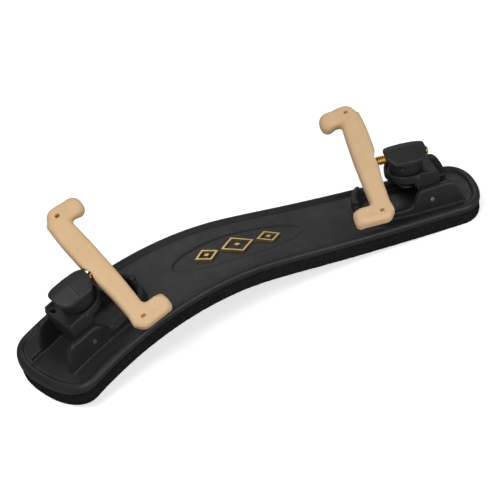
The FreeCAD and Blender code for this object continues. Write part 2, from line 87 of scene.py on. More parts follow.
RIVET_RADIUS, INSERT_RADIUS, INSERT_HALF_LENGTH, RIVET_REACH = 1.5, 2.7, 6.5, 3.0
SWIVEL = {"left": math.radians(-6), "right": math.radians(4)}
FORK_REACH = {"left": 13.6, "right": 16.8}
FORK_ROLL = {"left": math.radians(29), "right": math.radians(17)}
FORK_HALF, BAR_BREADTH, HOOK_BREADTH = 31.0, 7.4, 8.2
HOOK_Y = FORK_HALF - HOOK_BREADTH / 2
BADGE_X, BADGE_HALF_LENGTH, BADGE_HALF_WIDTH, BADGE_DEPTH = -7.0, 29.0, 9.0, 0.5


# ---- the plate's curves ------------------------------------------------------------------
def centre_y(x):
    """Centre line in plan: one arc, then straight on to the narrow end."""
    run = np.minimum(x, BEND_END_X) - BEND_X
    root = np.sqrt(BEND_RADIUS ** 2 - run ** 2)
    return BEND_Y - BEND_RADIUS + root - np.maximum(x - BEND_END_X, 0) * run / root


def half_width(x):
    """Even taper between the ends, each rounded off as a superellipse."""
    across = (x - LEFT_END) / (RIGHT_END - LEFT_END)
    width = HALF_WIDTH_LEFT + (HALF_WIDTH_RIGHT - HALF_WIDTH_LEFT) * across
    past = np.maximum(LEFT_END + END_ROUND - x, x - RIGHT_END + END_ROUND)
    rounding = np.clip(past, 0, END_ROUND) / END_ROUND
    return width * np.maximum(0.0, 1.0 - rounding ** END_POWER) ** (1.0 / END_POWER)


RAMP_START_X = PEAK_X + ARCH_RIGHT_RADIUS * math.sin(RAMP_SLOPE)
RAMP_START_Z = PEAK_Z - ARCH_RIGHT_RADIUS * (1 - math.cos(RAMP_SLOPE))
RAMP_END_Z = RAMP_START_Z - (RAMP_END_X - RAMP_START_X) * math.tan(RAMP_SLOPE)
FLARE_X = RAMP_END_X + FLARE_RADIUS * math.sin(RAMP_SLOPE)
FLARE_CENTRE_Z = RAMP_END_Z + FLARE_RADIUS * math.cos(RAMP_SLOPE)


def arch_z(x):
    """Height along the plate: two arcs about the peak, a straight ramp, a flare to the narrow end."""
    x = np.asarray(x, float)
    rise = np.minimum(x, PEAK_X) - PEAK_X
    fall = np.clip(x, PEAK_X, RAMP_START_X) - PEAK_X
    left = PEAK_Z - ARCH_LEFT_RADIUS + np.sqrt(ARCH_LEFT_RADIUS ** 2 - rise ** 2)
    right = PEAK_Z - ARCH_RIGHT_RADIUS + np.sqrt(ARCH_RIGHT_RADIUS ** 2 - fall ** 2)
    ramp = RAMP_START_Z - (x - RAMP_START_X) * math.tan(RAMP_SLOPE)
    flare = FLARE_CENTRE_Z - np.sqrt(FLARE_RADIUS ** 2 - (np.maximum(x, RAMP_END_X) - FLARE_X) ** 2)
    upper = np.where(x < PEAK_X, left, right)
    return np.where(x < RAMP_START_X, upper, np.where(x < RAMP_END_X, ramp, flare))


def slope_angle(curve, x):
    step = 0.01
    return np.arctan((curve(x + step) - curve(x - step)) / (2 * step))


def outline(inset=0.0, count=240):
    """Plan outline, set out square to the centre line."""
    middle, reach = (LEFT_END + RIGHT_END) / 2, (RIGHT_END - LEFT_END) / 2
    turn = 2 * math.pi * np.arange(count) / count
    x = middle + reach * np.cos(turn)
    side = np.where(np.sin(turn) >= 0, 1, -1)
    width = side * half_width(x) * (1 - inset / HALF_WIDTH_LEFT)
    x = middle + (x - middle) * (1 - inset / reach)
    turned = slope_angle(centre_y, x)
    return list(zip(x - width * np.sin(turned), centre_y(x) + width * np.cos(turned)))


def mechanism_axes(side):
    """Origin at the pin's middle, then the inward, across and away directions."""
    x = MECHANISM_X[side]
    turned = float(slope_angle(centre_y, x))
    pitch = float(slope_angle(arch_z, x))
    along = np.array([math.cos(turned) * math.cos(pitch), math.sin(turned) * math.cos(pitch),
                      math.sin(pitch)])
    across = np.array([-math.sin(turned), math.cos(turned), 0.0])
    away = np.cross(along, across)
    origin = np.array([x, float(centre_y(x)), float(arch_z(x))]) + away * (FLOOR_Z + PIN_HEIGHT)
    origin += across * MECHANISM_Y[side]
    inward = along if side == "left" else -along
    return origin, inward, across, away


def mechanism_place(side):
    origin, inward, across, away = mechanism_axes(side)
    place = Matrix.Identity(4)
    for row in range(3):
        place[row] = (inward[row], across[row], away[row], origin[row])
    return place


def swivel_place(side):
    shift = Matrix.Translation((SWIVEL_X, 0, 0))
    return mechanism_place(side) @ shift @ Matrix.Rotation(SWIVEL[side], 4, "Z")


def fork_place(side):
    shift = Matrix.Translation((FORK_REACH[side], 0, SCREW_Z))
    return swivel_place(side) @ shift @ Matrix.Rotation(FORK_ROLL[side], 4, "X")


def frame_shift():
    """The CAD's own shift to its footprint, read off a hinge pin."""
    low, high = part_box("hinge_pin_left")
    centre = (Vector(low) + Vector(high)) / 2 / MM
    return centre - Vector(mechanism_axes("left")[0])


SHIFT = frame_shift()


# ---- distance fields ---------------------------------------------------------------------
# Each field is negative inside its shape. The "soft" of a join is the size of its fillet.
class Grid:
    """Sample points of a box, a voxel apart."""

    def __init__(self, low, high, voxel):
        axes = [np.arange(a, b + voxel, voxel, dtype=np.float32) for a, b in zip(low, high)]
        self.low = np.array(low, np.float32)
        self.voxel = voxel
        self.x, self.y, self.z = np.meshgrid(*axes, indexing="ij", sparse=True)


def join(a, b, soft):
    """Either shape, with a fillet between them."""
    h = np.clip(0.5 + 0.5 * (b - a) / soft, 0, 1)
    return b + (a - b) * h - soft * h * (1 - h)


def both(a, b, soft):
    """What the two shapes share, with its edge softened."""
    return -join(-a, -b, soft)


def carve(a, b, soft):
    """The first shape less the second."""
    return both(a, -b, soft)


def polygon(u, v, points):
    """Signed distance to a closed polygon, negative inside."""
    best = None
    inside = False
    for (ax, ay), (bx, by) in zip(points, points[1:] + points[:1]):
        ex, ey = bx - ax, by - ay
        if ex == 0 and ey == 0:
            continue
        wx, wy = u - ax, v - ay
        t = np.clip((wx * ex + wy * ey) / (ex * ex + ey * ey), 0, 1)
        d = (wx - ex * t) ** 2 + (wy - ey * t) ** 2
        best = d if best is None else np.minimum(best, d)
        if ey != 0:
            inside = inside ^ (((ay > v) != (by > v)) & (u < ex * (v - ay) / ey + ax))
    return np.where(inside, -1, 1) * np.sqrt(best)


def inset(points, distance):
    """The polygon with every edge moved inwards, so a later rounding gives the size back."""
    area = sum(a[0] * b[1] - b[0] * a[1] for a, b in zip(points, points[1:] + points[:1]))
    sign = 1 if area > 0 else -1
    moved = []
    count = len(points)
    for k in range(count):
        a, b, c = Vector(points[k - 1]), Vector(points[k]), Vector(points[(k + 1) % count])
        first, second = (b - a).normalized(), (c - b).normalized()
        n1 = Vector((-first.y, first.x)) * sign
        n2 = Vector((-second.y, second.x)) * sign
        moved.append(tuple(b + (n1 + n2) * distance / (1 + n1.dot(n2))))
    return moved


def rounded(u, v, points, radius):
    return polygon(u, v, inset(points, radius)) - radius


def circle(u, v, radius):
    return np.hypot(u, v) - radius


def rectangle(u, v, half_u, half_v):
    return np.maximum(np.abs(u) - half_u, np.abs(v) - half_v)


def meet_round(a, b, rounding):
    """What two shapes share, where their faces meet in a true quarter round."""
    a = a + rounding
    b = b + rounding
    return np.minimum(np.maximum(a, b), 0) + np.hypot(np.maximum(a, 0), np.maximum(b, 0)) - rounding


def extrude(flat, w, low, high, rounding):
    slab = np.abs(w - (low + high) / 2) - (high - low) / 2
    return meet_round(flat, slab, rounding)


def capsule(u, v, start, end, radius):
    ex, ey = end[0] - start[0], end[1] - start[1]
    t = np.clip(((u - start[0]) * ex + (v - start[1]) * ey) / (ex * ex + ey * ey), 0, 1)
    return np.hypot(u - start[0] - ex * t, v - start[1] - ey * t) - radius


def block(grid, low, high, rounding):
    flat = extrude(np.abs(grid.x - (low[0] + high[0]) / 2) - (high[0] - low[0]) / 2,
                   grid.y, low[1], high[1], rounding)
    return extrude(flat, grid.z, low[2], high[2], rounding)


def skin(name, field, grid, place=None):
    """Quads on the field's zero surface, placed in the frame."""
    volume = vdb.FloatGrid(1.0)
    volume.copyFromArray(np.ascontiguousarray(field, dtype=np.float32))
    points, quads = volume.convertToQuads(0.0)
    points = points * grid.voxel + grid.low
    if place is not None:
        turn = np.array(place.to_3x3())
        points = points @ turn.T + np.array(place.translation)
    points = (points + np.array(SHIFT)) * MM
    corners = points[quads]
    normals = np.cross(corners[:, 2] - corners[:, 0], corners[:, 3] - corners[:, 1])
    if (normals * corners.mean(axis=1)).sum() < 0:
        quads = quads[:, ::-1]
    mesh = bpy.data.meshes.new(name)
    mesh.from_pydata(points.tolist(), [], quads.tolist())
    mesh.shade_smooth()
    mesh.update()
    made = bpy.data.objects.new(name, mesh)
    bpy.context.scene.collection.objects.link(made)
    return made


def fit(made, material, body, node):
    """Gives a piece its material and its body, and stands it in for the frame's node."""
    made.data.materials.clear()
    made.data.materials.append(material)
    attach(made, body)
    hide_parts(node)


# ---- plate -------------------------------------------------------------------------------
WALL_FILLET = 0.4          # small, so that the bracket's corners clear it when it stands up
CREST_RADIUS = 1.7
CREST_Z = 0.3
CREST_END = math.radians(35)
RIM_STEPS = 12
PAST_THE_MIDDLE = 60       # further in from the outline than any point of the plate
EAR_SOFT = 0.9             # rounding along the top of the pocket's wall
BACK_BLOCK_X, BACK_BLOCK_Y = 21.0, -1.0
RIB_X, RIB_INSET, RIB_HALF_LENGTH, RIB_HALF_THICK, RIB_RISE = -16.3, 1.5, 3.0, 0.5, 0.8
WALL_EMBED = 0.5           # the walls start this far above the plate's underside
LEFT_POCKET_X, RIGHT_POCKET_X = -38, 32     # neither end's walls reach past these
PLATE_ROOM = ((-109, -34, -4), (104, 30, 33))
PLATE_VOXEL = 0.4
PRESS_CLEARANCE = 0.02     # the pin sits tight in the ears


def rim_top():
    """Height of the plate's top against distance in from its edge, past the crest's middle."""
    turn = np.linspace(math.pi / 2, CREST_END, RIM_STEPS)
    u = CREST_RADIUS + CREST_RADIUS * np.cos(turn)
    h = CREST_Z + CREST_RADIUS * np.sin(turn)
    fall = math.pi / 2 - CREST_END
    hollow = (h[-1] - FLOOR_Z) / (1 - math.cos(fall))
    turn = np.linspace(fall, 0, RIM_STEPS)[1:]
    u2 = u[-1] + hollow * (math.sin(fall) - np.sin(turn))
    h2 = FLOOR_Z + hollow * (1 - np.cos(turn))
    return np.concatenate([u, u2, [PAST_THE_MIDDLE]]), np.concatenate([h, h2, [FLOOR_Z]])


def plate_coordinates(grid, points):
    """Distance in from the outline and height off the arch, at every grid point."""
    inward = -polygon(grid.x, grid.y, points)
    pitch = slope_angle(arch_z, grid.x[:, 0, 0]).reshape(-1, 1, 1)
    height = (grid.z - arch_z(grid.x)) * np.cos(pitch)
    return inward.astype(np.float32), height.astype(np.float32)


def tray(inward, height):
    """The plate without its pockets: round rim, hollow behind it, flat floor."""
    u_table, h_table = rim_top()
    top = np.interp(inward, u_table, h_table)
    steep = np.interp(inward, u_table[:-1], np.gradient(h_table[:-1], u_table[:-1]), right=0)
    inner = (height - top) / np.sqrt(1 + steep ** 2)
    crest = np.hypot(inward - CREST_RADIUS, height - CREST_Z) - CREST_RADIUS
    outer = np.where(height > CREST_Z, crest, -inward)
    shell = np.where(inward < CREST_RADIUS, outer, inner)
    return both(shell, PLATE_BOTTOM_Z - height, 0.5)


def ear_profile():
    """Side view of the pocket's wall, closed far under the floor."""
    far_below = -30
    outer_end = [(-14.2, far_below), (-14.2, FLOOR), (-13.6, -2.6), (-12.7, 0.2), (-11.7, 2.4)]
    ear = [(-10.6, 4.1), (-9.3, 5.2), (-7.8, EAR_TOP), (3.0, EAR_TOP - 0.5), (4.4, EAR_TOP - 1.0)]
    s_curve = [(5.5, EAR_TOP - 2.0), (6.7, 1.6), (7.6, -0.4), (8.5, -1.4), (9.9, LOW_WALL_TOP)]
    raised_block = [(22.8, LOW_WALL_TOP), (24.0, -1.2), (24.6, 0.2), (25.2, 0.8), (26.4, 1.0)]
    inner_end = [(POCKET_END_X + 1, 1.0), (POCKET_END_X + 1, far_below)]
    return outer_end + ear + s_curve + raised_block + inner_end


def pocket_wall(x, y, z):
    """U-shaped wall round the pocket, whose raised block is only on the back half."""
    middle = EAR_OUTER_Y - EAR_THICK / 2
    bend_x = POCKET_END_X - EAR_OUTER_Y
    straight = np.abs(y) - middle
    curved = np.hypot(x - bend_x, y) - middle
    ribbon = np.abs(np.where(x < bend_x, straight, curved)) - EAR_THICK / 2
    wall = both(ribbon, polygon(x, z, ear_profile()), EAR_SOFT)
    front_end = np.maximum(np.maximum(BACK_BLOCK_X - x, y - BACK_BLOCK_Y), LOW_WALL_TOP - z)
    return carve(wall, front_end, EAR_SOFT)


def stiffening_rib(x, y, z):
    """Low rib that runs outwards from the foot of the back ear."""
    flat = rectangle(y - EAR_OUTER_Y + RIB_INSET, x - RIB_X, RIB_HALF_THICK, RIB_HALF_LENGTH)
    return both(flat, z - FLOOR - RIB_RISE, 0.4)


def add_mechanism_walls(grid, field, side):
    """Fuses one end's pocket into the plate and bores it for the pin."""
    columns = grid.x[:, 0, 0]
    near = columns < LEFT_POCKET_X if side == "left" else columns > RIGHT_POCKET_X
    origin, inward, across, away = mechanism_axes(side)
    x, y, z = grid.x[near] - origin[0], grid.y - origin[1], grid.z - origin[2]
    local = [(x * axis[0] + y * axis[1] + z * axis[2]).astype(np.float32)
             for axis in (inward, across, away)]
    pitch = slope_angle(arch_z, columns[near]).reshape(-1, 1, 1)
    height = (grid.z - arch_z(grid.x[near])) * np.cos(pitch)
    part = join(pocket_wall(*local), stiffening_rib(*local), 0.3)
    part = np.maximum(part, PLATE_BOTTOM_Z + WALL_EMBED - height)
    fused = join(field[near], part, WALL_FILLET)
    bore = circle(local[0], local[2], PIN_RADIUS + PRESS_CLEARANCE)
    field[near] = carve(fused, bore, 0.15)


def badge_recess(grid, height):
    """Oval sunk in the floor; the ratio to its slope turns the oval's formula into millimetres."""
    turned = float(slope_angle(centre_y, BADGE_X))
    x, y = grid.x - BADGE_X, grid.y - float(centre_y(BADGE_X))
    u = (x * math.cos(turned) + y * math.sin(turned)) / BADGE_HALF_LENGTH
    v = (y * math.cos(turned) - x * math.sin(turned)) / BADGE_HALF_WIDTH
    away = np.sqrt(u ** 2 + v ** 2) + 1e-6
    steep = np.sqrt((u / BADGE_HALF_LENGTH) ** 2 + (v / BADGE_HALF_WIDTH) ** 2) / away
    oval = (away - 1) / np.maximum(steep, 1e-3)
    return np.maximum(oval, FLOOR_Z - BADGE_DEPTH - height)


def make_plate(material):
    grid = Grid(*PLATE_ROOM, PLATE_VOXEL)
    inward, height = plate_coordinates(grid, outline())
    field = tray(inward, height)
    field = carve(field, badge_recess(grid, height), 0.25)
    for side in ("left", "right"):
        add_mechanism_walls(grid, field, side)
    plate = skin("moulded_plate", field, grid)
    fit(plate, material, "plate", "base_plate")


# ---- foam pad ----------------------------------------------------------------------------
PAD_GAP = 0.02
PAD_BELLY, BELLY_HEIGHT, BELLY_REACH = 0.35, 3.2, 3.4
CELL_SIZE, CELL_DEPTH = 0.9, 0.1
FOAM_ROOM = ((-108, -34, -2), (103, 29, 22))
FOAM_VOXEL = 0.5


def roughen(made, size, depth):
    """Small uneven displacement along the normals."""
    mesh = made.data
    count = len(mesh.vertices)
    points = np.empty(count * 3)
    normals = np.empty(count * 3)
    mesh.vertices.foreach_get("co", points)
    mesh.vertex_normals.foreach_get("vector", normals)
    points, normals = points.reshape(-1, 3), normals.reshape(-1, 3)
    scaled = points / (size * MM)
    push = np.array([noise.noise(Vector(p)) for p in scaled])
    points += normals * (push * depth * MM)[:, None]
    mesh.vertices.foreach_set("co", points.ravel())
    mesh.update()


def make_foam(material):
    """Cushion with bulging sides, cut flat where the rest stands on the table."""
    grid = Grid(*FOAM_ROOM, FOAM_VOXEL)
    inward, height = plate_coordinates(grid, outline(PAD_INSET))
    top = PLATE_BOTTOM_Z - PAD_GAP
    low = top - PAD_THICK
    belly = PAD_BELLY * np.clip(1 - ((height - low - BELLY_HEIGHT) / BELLY_REACH) ** 2, 0, 1)
    field = both(PAD_BELLY - inward - belly, low - height, 1.6)
    field = both(field, height - top, 0.5)
    field = both(field, -grid.z, 0.8)
    foam = skin("foam_cushion", field, grid)
    roughen(foam, CELL_SIZE, CELL_DEPTH)
    fit(foam, material, "plate", "foam_pad")


# ---- folding bracket ---------------------------------------------------------------------
LIP_INSET, LIP_HALF, LIP_RISE, LIP_DROP = 0.45, 0.55, 1.0, 0.4
LIP_START_X = 1.5
CHEEK_THICK, END_THICK, END_LOW_Z = 2.0, 1.8, -1.2
WALL_TOP = DECK_TOP - 1    # cheeks and end wall finish inside the deck
TAB_START_X, TAB_END_X, TAB_THICK, TAB_RISE = -4.4, 3.4, 1.6, 1.3
BOSS_RADIUS = 3.2
SLOT_X, SLOT_Y = (-3.6, -2.2), (4.2, 7.2)
TURN_CLEARANCE = 0.06      # pin and rivet turn in their holes
BRACKET_ROOM = ((-7, -11, -7), (16, 11, 13))


def deck_field(x, y, z):
    """Deck with a round head, and a raised lip round the head's free side."""
    corners = [(END_X, -BRACKET_HALF), (SWIVEL_X, -BRACKET_HALF),
               (SWIVEL_X, BRACKET_HALF), (END_X, BRACKET_HALF)]
    head = circle(x - SWIVEL_X, y, HEAD_RADIUS)
    deck = extrude(np.minimum(rounded(x, y, corners, 0.8), head), z, DECK_LOW, DECK_TOP, 0.5)
    ring = np.abs(head + LIP_INSET) - LIP_HALF
    lip = extrude(ring, z, DECK_LOW - LIP_DROP, DECK_TOP + LIP_RISE, 0.25)
    return join(deck, np.maximum(lip, LIP_START_X - x), 0.4)


def cheek_outline(x, z):
    """Side view of a cheek: round heel about the pin, straight outer end, hollowed front."""
    heel = -END_X
    turns = [math.radians(a) for a in (232, 219, 206, 193, 180)]
    foot = [(heel * math.cos(a), heel * math.sin(a)) for a in turns]
    front = [(6.4, WALL_TOP), (3.9, 1.2), (3.0, -1.4), (1.2, -3.2)]
    return rounded(x, z, foot + [(END_X, WALL_TOP)] + front, 0.6)


def side_span(sign, thick):
    """Limits across of a wall whose outer face is the bracket's side."""
    return sorted((sign * BRACKET_HALF, sign * (BRACKET_HALF - thick)))


def bracket_openings(body, grid):
    """Slot through the deck, bore for the hinge pin, hole for the rivet."""
    x, y, z = grid.x, grid.y, grid.z
    slot = block(grid, (SLOT_X[0], SLOT_Y[0], DECK_LOW - 1), (SLOT_X[1], SLOT_Y[1], DECK_TOP + 2), 0.3)
    body = carve(body, slot, 0.3)
    body = carve(body, circle(x, z, PIN_RADIUS + TURN_CLEARANCE), 0.2)
    return carve(body, circle(x - SWIVEL_X, y, RIVET_RADIUS + TURN_CLEARANCE), 0.2)


def bracket_field(grid):
    """Deck, cheeks, end wall, two low tabs and the boss under the head, trimmed to its sides."""
    x, y, z = grid.x, grid.y, grid.z
    body = deck_field(x, y, z)
    for sign in (-1, 1):
        low_y, high_y = side_span(sign, CHEEK_THICK)
        body = join(body, extrude(cheek_outline(x, z), y, low_y, high_y, 0.45), 0.5)
    end = block(grid, (END_X, -BRACKET_HALF, END_LOW_Z), (END_X + END_THICK, BRACKET_HALF, WALL_TOP), 0.5)
    body = join(body, end, 0.5)
    for sign in (-1, 1):
        low_y, high_y = side_span(sign, TAB_THICK)
        low, high = (TAB_START_X, low_y, DECK_LOW), (TAB_END_X, high_y, DECK_TOP + TAB_RISE)
        body = join(body, block(grid, low, high, 0.55), 0.35)
    boss = extrude(circle(x - SWIVEL_X, y, BOSS_RADIUS), z, DECK_LOW - BOSS_DEPTH, DECK_LOW + 1, 0.4)
    body = join(body, boss, 0.6)
    body = both(body, np.maximum(np.abs(y) - BRACKET_HALF, END_X - x), 0.12)
    return bracket_openings(body, grid)


# ---- knob --------------------------------------------------------------------------------
RIDGE_SOFT = 0.8           # how blunt the ridge is
RIDGE_SAG = 0.006          # its fall towards the ends, per square millimetre
ROOF_FALL = 0.56           # how steeply the roof falls to each side
ROOF_SCALE = 0.88          # turns height under the sloping roof into distance
GRIP_HALF_WIDTH, GRIP_CORNER = 7.4, 1.5
BROW_LOW = 4.9             # the grip's lower edge, lowest at the middle
BROW_RISE = 2.2
BASE_INSET, BASE_TAPER, BASE_LEVEL, BASE_TOP = 0.25, 0.075, 6.0, 8.5
SEAM_HALF, SEAM_HEIGHT = 0.2, 0.1
THREAD_CLEARANCE, HIDDEN_CLEARANCE = 0.4, 0.02
KNOB_ROOM = ((-10, -10, KNOB_LOW - 1), (10, 10, KNOB_LOW + 12))


def knob_grip(x, y, z):
    """Long grip with clipped corners, its lower edge bowed down like a brow."""
    grip = both(np.abs(x) - KNOB_HALF_LENGTH, np.abs(y) - GRIP_HALF_WIDTH, 1.3)
    grip = both(grip, circle(x, y, KNOB_RADIUS + GRIP_CORNER), 0.8)
    brow = KNOB_LOW + BROW_LOW + BROW_RISE * (x / KNOB_HALF_LENGTH) ** 2
    return both(grip, brow - z, 0.6)


def knob_base(x, y, z):
    """Round base that tapers inwards to its foot."""
    lean = BASE_TAPER * (z - KNOB_LOW - BASE_LEVEL)
    base = both(circle(x, y, KNOB_RADIUS) + BASE_INSET - lean, KNOB_LOW - z, 0.5)
    return np.maximum(base, z - KNOB_LOW - BASE_TOP)


def knob_roof(x, y, z):
    """Two slopes that fall from a blunt ridge along the screw."""
    drop = np.sqrt(RIDGE_SOFT ** 2 + (ROOF_FALL * y) ** 2) - RIDGE_SOFT
    return (z - KNOB_LOW - KNOB_TOP + drop + RIDGE_SAG * x ** 2) * ROOF_SCALE


def knob_field(grid):
    """Base, grip and roof, a faint moulding seam over the middle, and the room for the metal."""
    x, y, z = grid.x, grid.y, grid.z
    body = both(join(knob_base(x, y, z), knob_grip(x, y, z), 0.5), knob_roof(x, y, z), 0.7)
    seam = np.maximum(np.abs(x) - SEAM_HALF, body - SEAM_HEIGHT)
    body = np.maximum(join(body, seam, 0.08), KNOB_LOW - z)
    body = carve(body, circle(y, z - SCREW_Z, SCREW_RADIUS + THREAD_CLEARANCE), 0.3)
    insert = np.maximum(circle(y, z - SCREW_Z, INSERT_RADIUS + HIDDEN_CLEARANCE),
                        np.abs(x) - INSERT_HALF_LENGTH - HIDDEN_CLEARANCE)
    rivet = np.maximum(circle(x, y, RIVET_RADIUS + HIDDEN_CLEARANCE),
                       z - KNOB_LOW - RIVET_REACH - HIDDEN_CLEARANCE)
    return np.maximum(body, -np.minimum(insert, rivet))


# ---- rubber sleeve -----------------------------------------------------------------------
SLEEVE_HALF = 2.7          # half its thickness
BAR_BOW = 1.3              # the bar is thicker between the hooks
UPPER_REACH, FOOT_REACH = 11.8, 12.4
HOOK_OFFSET = 0.1          # a hook's tip is this much further out than its root
HOOK_DROOP = 1.5           # the upper hook bends down towards its tip
HOOK_CROWN = 1.1           # and is domed over its root
CROWN_START_X, CROWN_LENGTH = -4, 10
SHOULDER = 1.1             # extra breadth at the upper hook, on the bar's outer edge
SHOULDER_FADE = 1.25       # it grows to one and a half times that on the way down, then fades
INNER_BELLY = 0.9          # extra breadth along the inner edge, most at the hub
CURL_SET_BACK, CURL_HALF, CURL_RADIUS = 2.5, 1.4, 2.5
TOE_SET_BACK, TOE_HALF, TOE_RADIUS = 2.0, 1.9, 2.0
CURL_SPAN, TOE_SPAN = (-5.2, 0.6), (-3.1, 1.2)
HUB_OVAL = (4.7, 3.4)
HUB_DEPTH = 1.3
HUB_SWELL, HUB_REACH = 0.5, 8.5
SLEEVE_EDGE = 1.9          # rounding of its long edges
HOLE_X, HOLE_HALF, HOLE_FLOOR = 0.8, (0.85, 0.75), 0.6
STAMP_X, STAMP_HALF, STAMP_FLOOR = 6.0, (1.4, 1.0), 2.5
SLOT_INSET, SLOT_HALF, SLOT_FLOOR = 0.4, (1.5, 0.65), -2.4
ABOVE, BEHIND = 9, -9      # outside the sleeve, where a cutter starts
MOUTH_CLEARANCE, HOLE_CLEARANCE = 0.5, 0.12
SCREW_HOLE_END = BAR_BREADTH / 2 - 0.5      # just past the screw's end
SLEEVE_ROOM = ((-8, -32, -8), (15, 32, 5))


def sleeve_outline(x, y):
    """Plan of the sleeve: a bar that tapers from its shoulder, and a hook at each end."""
    hook = HOOK_BREADTH / 2
    swell = HUB_SWELL * np.exp(-(y / HUB_REACH) ** 2)
    along = np.clip(y / HOOK_Y, -1, 1)
    shoulder = np.clip(along, 0, 1) * np.clip(SHOULDER_FADE - along, 0, 1)
    shoulder = SHOULDER * shoulder / (SHOULDER_FADE - 1)
    belly = INNER_BELLY * (1 - along ** 2)
    half_bar = BAR_BREADTH / 2 + swell + (shoulder + belly) / 2
    middle = (belly - shoulder) / 2 - swell
    flat = rectangle(x - middle, y, half_bar, HOOK_Y)
    for sign, reach in ((-1, FOOT_REACH), (1, UPPER_REACH)):
        root = (hook - BAR_BREADTH / 2, sign * HOOK_Y)
        tip = (reach - hook, sign * (HOOK_Y + HOOK_OFFSET))
        flat = join(flat, capsule(x, y, root, tip, hook), 2.4)
    return flat


def hub_openings(body, x, y, z):
    """Oval recess round the screw, and the screw's own hole."""
    oval = (np.sqrt((y / HUB_OVAL[0]) ** 2 + (z / HUB_OVAL[1]) ** 2) - 1) * HUB_OVAL[1]
    body = carve(body, np.maximum(oval, x + BAR_BREADTH / 2 - HUB_DEPTH), 0.5)
    mouth = np.maximum(circle(y, z, SCREW_RADIUS + MOUTH_CLEARANCE), x)
    hole = np.maximum(circle(y, z, SCREW_RADIUS + HOLE_CLEARANCE), x - SCREW_HOLE_END)
    return np.maximum(carve(body, mouth, 0.2), -hole)


def foot_marks(body, x, y, z):
    """Locating hole near each root, faint square on the foot, slot in the upper hook's back."""
    for sign in (-1, 1):
        hole = extrude(rectangle(x - HOLE_X, y - sign * HOOK_Y, *HOLE_HALF), z, HOLE_FLOOR, ABOVE, 0.2)
        body = carve(body, hole, 0.3)
    stamp = extrude(rectangle(x - STAMP_X, y + HOOK_Y, *STAMP_HALF), z, STAMP_FLOOR, ABOVE, 0.1)
    body = carve(body, stamp, 0.2)
    slot = extrude(rectangle(y - HOOK_Y + SLOT_INSET, z, *SLOT_HALF), x, BEHIND, SLOT_FLOOR, 0.2)
    return carve(body, slot, 0.3)


def hook_lip(grid, tip, half_length, radius, span, rounding):
    """Thickened lip across a hook's tip, turned down towards the plate."""
    start, end = (tip[0], tip[1] - half_length), (tip[0], tip[1] + half_length)
    return extrude(capsule(grid.x, grid.y, start, end, radius), grid.z, *span, rounding)


def sleeve_field(grid):
    """The outline given its thickness, which bows between the hooks and droops to the upper tip."""
    x, y, z = grid.x, grid.y, grid.z
    flat = sleeve_outline(x, y)
    along = np.clip(np.abs(y) / HOOK_Y, 0, 1)
    out = np.clip(x / UPPER_REACH, 0, 1)
    over_root = np.clip((x - CROWN_START_X) / CROWN_LENGTH, 0, 1)
    crown = HOOK_CROWN * np.sin(math.pi * over_root) * along ** 4
    droop = np.where(y > 0, HOOK_DROOP * out ** 2 - crown, 0)
    upper = SLEEVE_HALF + BAR_BOW * (1 - along ** 2) * (1 - out) - droop
    lower = SLEEVE_HALF + np.maximum(droop, 0)
    body = extrude(flat, z, -lower, upper, SLEEVE_EDGE)
    curl_tip = (UPPER_REACH - CURL_SET_BACK, HOOK_Y + HOOK_OFFSET)
    body = join(body, hook_lip(grid, curl_tip, CURL_HALF, CURL_RADIUS, CURL_SPAN, 2.2), 1.8)
    toe_tip = (FOOT_REACH - TOE_SET_BACK, -HOOK_Y)
    body = join(body, hook_lip(grid, toe_tip, TOE_HALF, TOE_RADIUS, TOE_SPAN, 1.2), 0.8)
    return foot_marks(hub_openings(body, x, y, z), x, y, z)


# ---- both ends ---------------------------------------------------------------------------
FINE_VOXEL = 0.2
SLEEVE_VOXEL = FINE_VOXEL * 1.3


def make_piece(name, field, room, voxel, place):
    grid = Grid(*room, voxel)
    return skin(name, field(grid), grid, place)


def make_mechanism(side, plastic, knob_plastic, rubber):
    """One end's bracket, knob and sleeve, each set in its own axes."""
    bracket = make_piece("bracket_" + side + "_moulding", bracket_field, BRACKET_ROOM, FINE_VOXEL,
                         mechanism_place(side))
    fit(bracket, plastic, "bracket_" + side, "swing_bracket_" + side)
    knob = make_piece("knob_" + side + "_moulding", knob_field, KNOB_ROOM, FINE_VOXEL,
                      swivel_place(side))
    fit(knob, knob_plastic, "knob_" + side, "knob_" + side)
    sleeve = make_piece("rubber_" + side + "_sleeve", sleeve_field, SLEEVE_ROOM, SLEEVE_VOXEL,
                        fork_place(side))
    fit(sleeve, rubber, "fork_" + side, "fork_sleeve_" + side)


# ---- materials ---------------------------------------------------------------------------
PER_METRE = 1000.0         # noise scales are given per millimetre, the nodes work in metres
MIX_FIRST, MIX_SECOND, MIX_RESULT = 6, 7, 2     # the mix node's colour sockets


